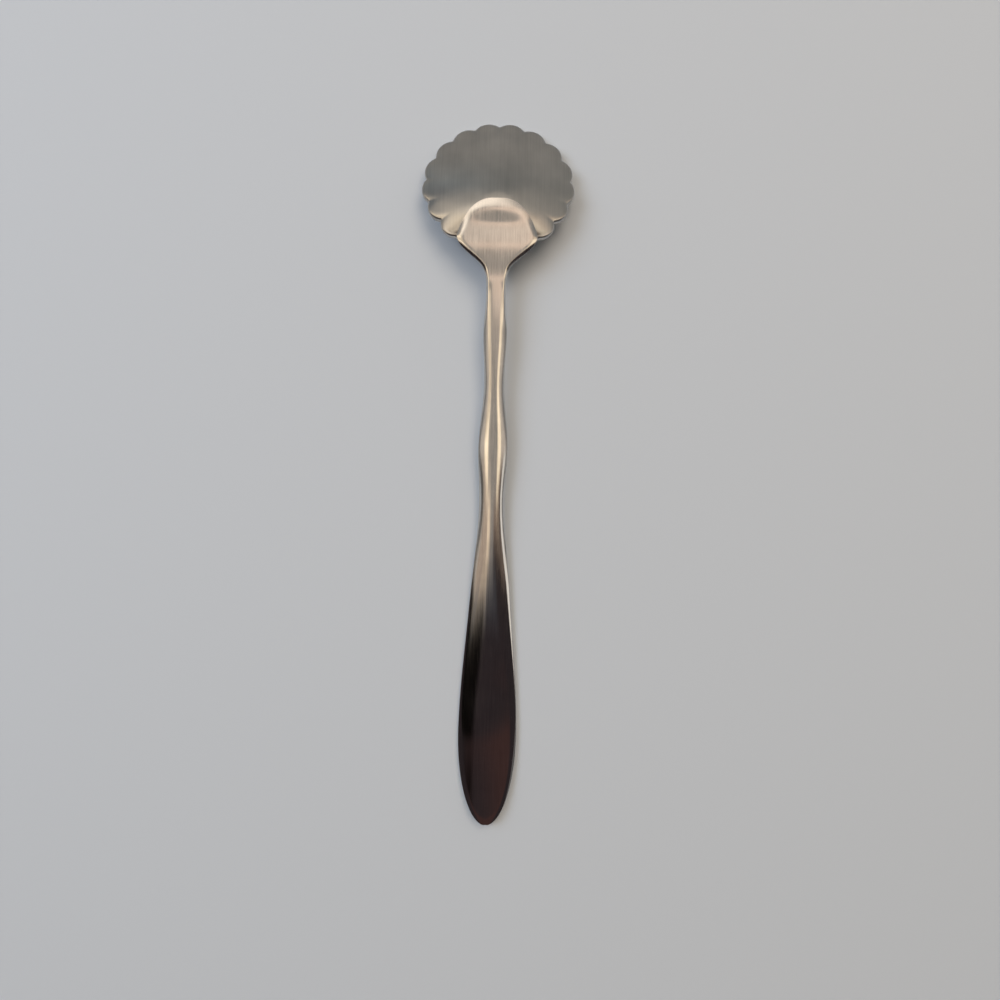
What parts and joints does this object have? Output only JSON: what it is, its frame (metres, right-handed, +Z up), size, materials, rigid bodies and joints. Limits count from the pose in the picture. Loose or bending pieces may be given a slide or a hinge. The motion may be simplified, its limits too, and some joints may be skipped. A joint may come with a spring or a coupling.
{
  "type": "teaspoon",
  "caption": "Steel teaspoon with a shallow round bowl whose rim is scalloped like a flower, a spade-shaped tongue lapped to the bowl's back, a waved stem and a leaf-shaped handle end.",
  "frame": {"origin": "on the table, under the middle of the box round the spoon as it lies face down", "axes": "+Y along the spoon towards the tip of the bowl, +Z up from the table, out of the bowl's back, +X to the right seen from above"},
  "size_m": [0.0268, 0.1247, 0.0065],
  "materials": {
    "bowl_steel": "satin, brushed lengthwise",
    "handle_steel": "polished, with fine wear",
    "silver_braze": "as flowed"
  },
  "bodies": {
    "root": {"bowl": "bowl_steel", "handle": "handle_steel", "braze_layer": "silver_braze"}
  },
  "joints": []
}
